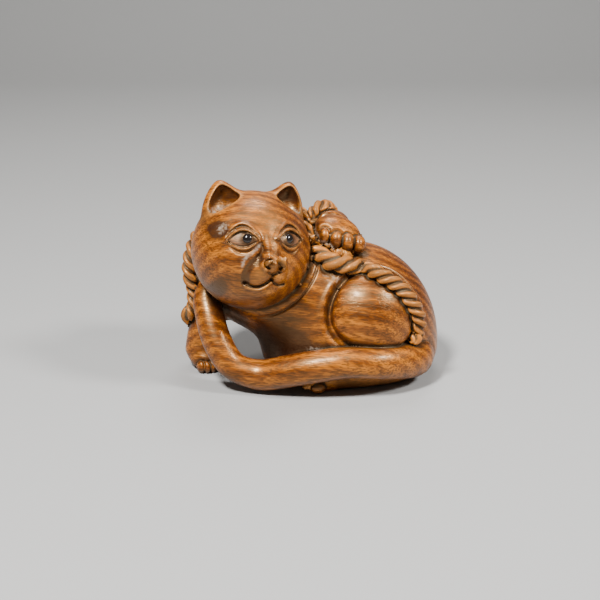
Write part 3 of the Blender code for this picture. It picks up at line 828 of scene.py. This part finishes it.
def finishMesh(thing):
    thing.data.transform(Matrix.Translation(originShift))
    for face in thing.data.polygons:
        face.use_smooth = True
    thing.data.update()


eye = {"diameter": 0.0016, "depth": 0.0016, "dome": 0.0005, "proud": 0.00025, "sides": 48, "rings": 12}


# Where a peg sits: its rim a little proud of the flesh, facing out of the head
def eyePlace(pupil, settings):
    u, v = pupil
    forward = math.sqrt((head["radius"] / share) ** 2 - u * u - v * v)
    out = headAxes @ np.array((u, 1.25 * forward, v))
    out /= np.linalg.norm(out)
    start = onHead(u, forward, v) * share
    along = np.linspace(3.0 * share, -3.0 * share, 600)
    gaps = fleshDistance(start + along[:, None] * out)
    surface = along[np.argmax(gaps < 0.0)]
    rim = start + (surface + settings["proud"] - settings["dome"]) * out
    place = Vector(out).to_track_quat("Z", "Y").to_matrix().to_4x4()
    place.translation = Vector(rim)
    return place


def makeEye(name, pupil, settings):
    radius = settings["diameter"] / 2
    profile = [(0.0, -settings["depth"] / 2), (radius, -settings["depth"] / 2), (radius, 0.0)]
    for i in range(1, settings["rings"]):
        angle = math.pi / 2 * i / settings["rings"]
        profile.append((radius * math.cos(angle), settings["dome"] * math.sin(angle)))
    profile.append((0.0, settings["dome"]))
    mesh = bpy.data.meshes.new(name)
    mesh.from_pydata([(x, 0.0, z) for x, z in profile], [(i, i + 1) for i in range(len(profile) - 1)], [])
    thing = newObject(name, mesh)
    screw = thing.modifiers.new("turn", "SCREW")
    screw.steps = settings["sides"]
    screw.render_steps = settings["sides"]
    screw.use_merge_vertices = True
    screw.merge_threshold = 0.000005
    applyModifiers(thing)
    shape = bmesh.new()
    shape.from_mesh(thing.data)
    bmesh.ops.remove_doubles(shape, verts=shape.verts, dist=0.000005)
    bmesh.ops.recalc_face_normals(shape, faces=shape.faces)
    shape.to_mesh(thing.data)
    shape.free()
    thing.data.transform(eyePlace(pupil, settings))
    return thing


eyes = {side: makeEye(f"{side}EyeInlay", pupil, eye) for side, pupil in head["pupils"].items()}
for thing in [cat, *eyes.values()]:
    finishMesh(thing)
say("eyes let in")


class Nodes:
    def __init__(self, tree):
        self.tree = tree
        self.tree.nodes.clear()

    def add(self, kind, links=None, **settings):
        node = self.tree.nodes.new(kind)
        for key, value in settings.items():
            setattr(node, key, value)
        for key, value in (links or {}).items():
            if isinstance(value, bpy.types.NodeSocket):
                self.tree.links.new(value, node.inputs[key])
            else:
                node.inputs[key].default_value = value
        return node

    def ramp(self, source, stops):
        node = self.add("ShaderNodeValToRGB", {0: source})
        ramp = node.color_ramp
        while len(ramp.elements) < len(stops):
            ramp.elements.new(0.5)
        for element, (place, colour) in zip(ramp.elements, stops):
            element.position = place
            element.color = colour if len(colour) == 4 else (*colour, 1.0)
        return node.outputs[0]

    def mix(self, factor, a, b, blend="MIX"):
        node = self.add("ShaderNodeMix", data_type="RGBA", blend_type=blend, clamp_factor=True)
        for key, value in ((0, factor), (6, a), (7, b)):
            if isinstance(value, bpy.types.NodeSocket):
                self.tree.links.new(value, node.inputs[key])
            else:
                node.inputs[key].default_value = value if key == 0 or len(value) == 4 else (*value, 1.0)
        return node.outputs[2]

    def sum(self, operation, a, b, clamp=False):
        node = self.add("ShaderNodeMath", {0: a, 1: b}, operation=operation, use_clamp=clamp)
        return node.outputs[0]


def newMaterial(name):
    material = bpy.data.materials.new(name)
    material.use_nodes = True
    return material, Nodes(material.node_tree)


# Uneven handling, used by the wood and the horn
def makeHandlingGroup():
    tree = bpy.data.node_groups.new("handling", "ShaderNodeTree")
    nodes = Nodes(tree)
    tree.interface.new_socket("Vector", in_out="INPUT", socket_type="NodeSocketVector")
    tree.interface.new_socket("Size", in_out="INPUT", socket_type="NodeSocketFloat")
    tree.interface.new_socket("Smudge", in_out="OUTPUT", socket_type="NodeSocketFloat")
    tree.interface.new_socket("Speckle", in_out="OUTPUT", socket_type="NodeSocketFloat")
    inward = nodes.add("NodeGroupInput")
    outward = nodes.add("NodeGroupOutput")
    finer = nodes.sum("MULTIPLY", inward.outputs["Size"], 9.0)
    links = {"Vector": inward.outputs["Vector"], "Scale": inward.outputs["Size"], "Detail": 4.0}
    smudge = nodes.add("ShaderNodeTexNoise", links)
    links = {"Vector": inward.outputs["Vector"], "Scale": finer, "Detail": 2.0}
    speckle = nodes.add("ShaderNodeTexNoise", links)
    tree.links.new(smudge.outputs[0], outward.inputs["Smudge"])
    tree.links.new(speckle.outputs[0], outward.inputs["Speckle"])
    return tree


handling = makeHandlingGroup()

wood = {
    "light": (0.42, 0.125, 0.008),
    "middle": (0.16, 0.038, 0.003),
    "dark": (0.026, 0.005, 0.001),
    # Painted shade: the first colour for carved hollows, the second for hollows between forms and faces
    # turned down
    "hollow": (0.008, 0.003, 0.002),
    "paintedShadeColour": (0.018, 0.004, 0.001),
    # Lighter colour for worn edges and painted highlights
    "wearAndHighlightColour": (0.6, 0.23, 0.04),
    "rope": (0.6, 0.19, 0.022),
    "residue": (0.32, 0.265, 0.21),
    "dirt": (0.11, 0.09, 0.06),
    # Dark colour for stains and for painted shade under the chest
    "stainAndPaintedShade": (0.022, 0.006, 0.003),
    # Eye white, also used for the painted highlight beside each pupil
    "eyeball": (0.36, 0.28, 0.2),
    # Painted shade in the carved lines, and the dark rings round the pupils
    "shadeLinesAndIris": (0.014, 0.006, 0.004),
    "roughness": 0.33,
    "grainTurn": (0.95, -0.1, 0.08),
    "layers": {"Scale": 190.0, "Distortion": 5.0, "Detail": 3.0, "Detail Scale": 0.6},
    "fibreScale": (520.0, 3200.0, 5600.0),
    "poreScale": (560.0, 3300.0, 5200.0),
    "broadScale": 95.0,
    "handlingSize": 240.0,
    "grainShares": {"layers": 0.16, "fibres": 0.5, "broad": 0.54},
    "bump": {"Strength": 0.3, "Distance": 0.00005},
    "highlight": {"Coat Weight": 0.06, "Coat Roughness": 0.15, "IOR": 1.5, "Specular IOR Level": 1.0},
    "highlightColour": (1.0, 0.62, 0.28, 1.0),
}


def woodMaterial(settings):
    material, nodes = newMaterial("stainedBoxwood")
    place = nodes.add("ShaderNodeTexCoord").outputs["Object"]
    carved = nodes.add("ShaderNodeAttribute", attribute_name="carving", attribute_type="GEOMETRY")
    marked = nodes.add("ShaderNodeAttribute", attribute_name="marks", attribute_type="GEOMETRY")
    carvedParts = nodes.add("ShaderNodeSeparateColor", {0: carved.outputs["Color"]})
    markedParts = nodes.add("ShaderNodeSeparateColor", {0: marked.outputs["Color"]})
    shaded = nodes.add("ShaderNodeAttribute", attribute_name="paintedShade", attribute_type="GEOMETRY")
    paintedShade, shadeLinesAndIris = nodes.add("ShaderNodeSeparateColor", {0: shaded.outputs["Color"]}).outputs[0:2]
    hollow, wearAndHighlight, residue = (carvedParts.outputs[i] for i in range(3))
    stainAndPaintedShade, eyeball, ropeMask = (markedParts.outputs[i] for i in range(3))

    # The layers of growth lie nearly across the line of sight, so bulges show them as rings
    tilted = nodes.add("ShaderNodeMapping", {"Vector": place, "Rotation": settings["grainTurn"]}).outputs[0]
    layers = nodes.add(
        "ShaderNodeTexWave",
        {"Vector": tilted, **settings["layers"]},
        bands_direction="Z",
    ).outputs[1]
    links = {"Vector": tilted, "Scale": settings["fibreScale"]}
    stretched = nodes.add("ShaderNodeMapping", links).outputs[0]
    fibres = nodes.add("ShaderNodeTexNoise", {"Vector": stretched, "Scale": 1.0, "Detail": 3.0}).outputs[0]
    short = nodes.add("ShaderNodeMapping", {"Vector": tilted, "Scale": settings["poreScale"]}).outputs[0]
    pores = nodes.add("ShaderNodeTexNoise", {"Vector": short, "Scale": 1.0, "Detail": 2.0}).outputs[0]
    poreMask = nodes.ramp(pores, [(0.5, (0, 0, 0)), (0.58, (1, 1, 1))])
    links = {"Vector": place, "Scale": settings["broadScale"], "Detail": 4.0}
    broad = nodes.add("ShaderNodeTexNoise", links).outputs[0]
    used = nodes.add("ShaderNodeGroup", node_tree=handling)
    nodes.tree.links.new(place, used.inputs["Vector"])
    used.inputs["Size"].default_value = settings["handlingSize"]

    shares = settings["grainShares"]
    grain = nodes.sum("MULTIPLY", layers, shares["layers"])
    grain = nodes.sum("ADD", grain, nodes.sum("MULTIPLY", fibres, shares["fibres"]))
    grain = nodes.sum("ADD", grain, nodes.sum("MULTIPLY", broad, shares["broad"]))
    stops = [(0.4, settings["dark"]), (0.57, settings["middle"]), (0.74, settings["light"])]
    colour = nodes.ramp(grain, stops)
    colour = nodes.mix(nodes.sum("MULTIPLY", poreMask, 0.68), colour, settings["dark"])
    # Painted shade in hollows between forms and on faces turned down, weaker on the rope
    openly = nodes.sum("SUBTRACT", 0.8, nodes.sum("MULTIPLY", ropeMask, 0.5))
    colour = nodes.mix(nodes.sum("MULTIPLY", paintedShade, openly), colour, settings["paintedShadeColour"])
    colour = nodes.mix(nodes.sum("MULTIPLY", ropeMask, 0.6), colour, settings["rope"])
    # Edge wear with painted highlights, stronger on the rope's strands
    wearAndHighlightShare = nodes.sum("ADD", 0.4, nodes.sum("MULTIPLY", ropeMask, 0.2))
    colour = nodes.mix(nodes.sum("MULTIPLY", wearAndHighlight, wearAndHighlightShare), colour, settings["wearAndHighlightColour"])
    # Painted shade: near black in the carved hollows
    colour = nodes.mix(nodes.sum("MULTIPLY", hollow, 0.95), colour, settings["hollow"])
    dusty = nodes.sum("MULTIPLY", hollow, used.outputs["Smudge"])
    dusty = nodes.ramp(dusty, [(0.45, (0, 0, 0)), (0.65, (1, 1, 1))])
    colour = nodes.mix(nodes.sum("MULTIPLY", dusty, 0.5), colour, settings["dirt"])
    # Stains, and painted shade under the chest and belly
    stainAndShadePatches = nodes.sum("MULTIPLY", stainAndPaintedShade, nodes.sum("ADD", used.outputs["Smudge"], 0.35))
    stainAndShadePatches = nodes.ramp(stainAndShadePatches, [(0.12, (0, 0, 0)), (0.4, (1, 1, 1))])
    colour = nodes.mix(nodes.sum("MULTIPLY", stainAndShadePatches, 0.92), colour, settings["stainAndPaintedShade"])
    patchy = nodes.sum("MULTIPLY", residue, used.outputs["Speckle"])
    patchy = nodes.ramp(patchy, [(0.26, (0, 0, 0)), (0.52, (1, 1, 1))])
    colour = nodes.mix(nodes.sum("MULTIPLY", patchy, 0.62), colour, settings["residue"])
    # Eye whites, with their painted highlights
    colour = nodes.mix(nodes.sum("MULTIPLY", eyeball, 0.8), colour, settings["eyeball"])
    # Painted shade in the carved lines, and the dark rings round the pupils
    colour = nodes.mix(nodes.sum("MULTIPLY", shadeLinesAndIris, 0.85), colour, settings["shadeLinesAndIris"])

    rough = nodes.sum("MULTIPLY", used.outputs["Smudge"], 0.2)
    rough = nodes.sum("ADD", rough, settings["roughness"] - 0.1)
    rough = nodes.sum("ADD", rough, nodes.sum("MULTIPLY", hollow, 0.35))
    rough = nodes.sum("ADD", rough, nodes.sum("MULTIPLY", patchy, 0.3))
    rough = nodes.sum("ADD", rough, nodes.sum("MULTIPLY", poreMask, 0.12), clamp=True)
    relief = nodes.sum("MULTIPLY", poreMask, -0.6)
    relief = nodes.sum("ADD", relief, nodes.sum("MULTIPLY", fibres, 0.8))
    relief = nodes.sum("ADD", relief, nodes.sum("MULTIPLY", used.outputs["Speckle"], 0.3))
    bump = nodes.add("ShaderNodeBump", {"Height": relief, **settings["bump"]})
    surface = nodes.add(
        "ShaderNodeBsdfPrincipled",
        {
            "Base Color": colour,
            "Roughness": rough,
            "Normal": bump.outputs[0],
            "Specular Tint": settings["highlightColour"],
            **settings["highlight"],
        },
    )
    output = nodes.add("ShaderNodeOutputMaterial")
    nodes.tree.links.new(surface.outputs[0], output.inputs[0])
    return material


horn = {
    "pupil": (0.006, 0.005, 0.005),
    "streak": (0.014, 0.01, 0.008),
    "roughness": 0.06,
    "streakSize": 900.0,
    "bump": {"Strength": 0.05, "Distance": 0.00002},
}


def hornMaterial(settings):
    material, nodes = newMaterial("polishedHorn")
    place = nodes.add("ShaderNodeTexCoord").outputs["Object"]
    used = nodes.add("ShaderNodeGroup", node_tree=handling)
    nodes.tree.links.new(place, used.inputs["Vector"])
    used.inputs["Size"].default_value = settings["streakSize"]
    colour = nodes.mix(used.outputs["Smudge"], settings["pupil"], settings["streak"])
    rough = nodes.sum("MULTIPLY", used.outputs["Smudge"], 0.1)
    rough = nodes.sum("ADD", rough, settings["roughness"])
    bump = nodes.add("ShaderNodeBump", {"Height": used.outputs["Speckle"], **settings["bump"]})
    links = {"Base Color": colour, "Roughness": rough, "Normal": bump.outputs[0]}
    surface = nodes.add("ShaderNodeBsdfPrincipled", links)
    output = nodes.add("ShaderNodeOutputMaterial")
    nodes.tree.links.new(surface.outputs[0], output.inputs[0])
    return material


def floorMaterial(settings):
    material, nodes = newMaterial("paleFloor")
    surface = nodes.add("ShaderNodeBsdfPrincipled", settings["floor"])
    output = nodes.add("ShaderNodeOutputMaterial")
    nodes.tree.links.new(surface.outputs[0], output.inputs[0])
    return material


cat.data.materials.clear()
cat.data.materials.append(woodMaterial(wood))
hornSkin = hornMaterial(horn)
for thing in eyes.values():
    thing.data.materials.clear()
    thing.data.materials.append(hornSkin)
say("materials made")

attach(cat, "root")
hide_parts("cat_with_rope")
for side, thing in eyes.items():
    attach(thing, "root")
    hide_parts(f"{side}_eye")

studio = {
    "floorHalf": 0.6,
    "floorDepth": 0.25,
    "bend": 0.15,
    "bendSteps": 12,
    "wallHeight": 0.5,
    "floor": {"Base Color": (0.34, 0.335, 0.325, 1.0), "Roughness": 0.7},
    "sky": (0.8, 0.82, 0.85, 1.0),
    "skyStrength": 0.12,
    "lights": [
        {"name": "key", "place": (-0.09, -0.16, 0.27), "watts": 2.3, "size": 0.055},
        {"name": "second", "place": (0.2, -0.1, 0.22), "watts": 1.15, "size": 0.06},
        {"name": "top", "place": (0.02, 0.14, 0.32), "watts": 0.6, "size": 0.16},
    ],
}


def makeStudio(settings):
    half = settings["floorHalf"]
    sweep = bmesh.new()
    depth = settings["floorDepth"]
    bend = settings["bend"]
    steps = settings["bendSteps"]
    rows = [(-half, 0.0), (depth, 0.0)]
    for i in range(1, steps + 1):
        angle = math.pi / 2 * i / steps
        rows.append((depth + bend * math.sin(angle), bend * (1 - math.cos(angle))))
    rows.append((depth + bend, settings["wallHeight"]))
    lines = [[sweep.verts.new((x, y, z)) for x in (-half, half)] for y, z in rows]
    for first, second in zip(lines[:-1], lines[1:]):
        sweep.faces.new((first[0], first[1], second[1], second[0]))
    mesh = bpy.data.meshes.new("paleSweep")
    sweep.to_mesh(mesh)
    sweep.free()
    for face in mesh.polygons:
        face.use_smooth = True
    floor = newObject("paleSweep", mesh)
    floor.data.materials.append(floorMaterial(settings))
    world = bpy.data.worlds.new("studioSky")
    world.use_nodes = True
    sky = world.node_tree.nodes["Background"]
    sky.inputs[0].default_value = settings["sky"]
    sky.inputs[1].default_value = settings["skyStrength"]
    bpy.context.scene.world = world
    for light in settings["lights"]:
        data = bpy.data.lights.new(light["name"], "AREA")
        data.shape = "DISK"
        data.energy = light["watts"]
        data.size = light["size"]
        holder = newObject(light["name"], data)
        holder.location = light["place"]
        towards = Vector((0.0, 0.0, 0.014)) - Vector(light["place"])
        holder.rotation_euler = towards.to_track_quat("-Z", "Y").to_euler()


makeStudio(studio)
say("studio ready")

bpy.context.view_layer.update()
say("sizes kept")
